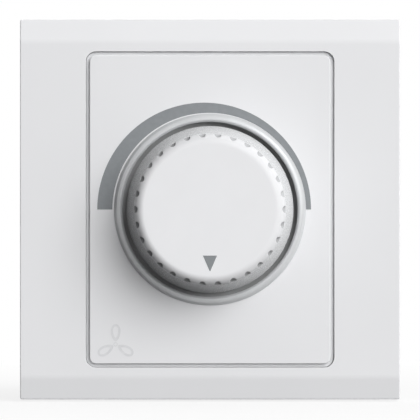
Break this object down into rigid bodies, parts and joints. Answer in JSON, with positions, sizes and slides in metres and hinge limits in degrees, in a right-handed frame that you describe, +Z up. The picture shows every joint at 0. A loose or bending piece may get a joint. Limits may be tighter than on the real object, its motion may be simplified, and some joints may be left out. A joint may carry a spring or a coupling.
{
  "type": "fan speed control switch",
  "caption": "Square white wall plate with a round silver-sided knob in a trim ring that sets a fan's speed, backed by a support frame, a wall-box housing and screw terminals.",
  "frame": {"origin": "on the knob's axis, in the plane of the wall that the cover's back rim meets", "axes": "+Y into the wall along the knob's axis, so the front faces -Y; +Z up the wall; +X to the right"},
  "size_m": [0.086, 0.0492, 0.086],
  "materials": {
    "white_plastic": "satin moulded white",
    "cap_plastic": "satin moulded white",
    "satin_silver": "fine satin",
    "support_plastic": "moulded",
    "housing_plastic": "moulded, fine grain",
    "screw_steel": "zinc plated",
    "spring_steel": "plain",
    "shaft_metal": "turned",
    "pot_metal": "plated",
    "black_plastic": "moulded",
    "wafer_board": "pressed laminate",
    "board_laminate": "pressed laminate",
    "capacitor_plastic": "moulded",
    "resistor_body": "coated",
    "fuse_glass": "clear",
    "sink_aluminium": "mill",
    "core_coat": "coated",
    "winding_copper": "enamelled copper wire",
    "fuse_metal": "plated",
    "terminal_plastic": "moulded",
    "terminal_brass": "machined"
  },
  "bodies": {
    "housing": {"cover_frame": "white_plastic", "centre_plate": "white_plastic", "trim_ring": "satin_silver", "support_frame": "support_plastic", "rear_housing": "housing_plastic", "fixing_screws": "screw_steel", "housing_screws": "screw_steel", "triac_screw": "screw_steel", "terminal_screws": "screw_steel", "pot_bushing": "pot_metal", "pot_case": "pot_metal", "pot_nut": "pot_metal", "pot_washer": "pot_metal", "pot_switch": "black_plastic", "triac": "black_plastic", "track_wafer": "wafer_board", "circuit_board": "board_laminate", "mains_capacitor": "capacitor_plastic", "timing_capacitor": "capacitor_plastic", "snubber_resistor": "resistor_body", "fuse_tube": "fuse_glass", "diac": "fuse_glass", "heat_sink": "sink_aluminium", "choke_core": "core_coat", "choke_winding": "winding_copper", "fuse_caps": "fuse_metal", "fuse_clips": "fuse_metal", "terminal_block": "terminal_plastic", "terminal_clamps": "terminal_brass"},
    "dial": {"knob_skirt": "satin_silver", "knob_cap": "cap_plastic", "knob_leaf": "spring_steel", "pot_shaft": "shaft_metal", "pot_rotor": "black_plastic"}
  },
  "joints": [
    {"name": "dial_turn", "type": "hinge", "parent": "housing", "child": "dial", "pos_m": [0, 0, 0], "axis": [0, 1, 0], "range_deg": [0, 270]}
  ]
}
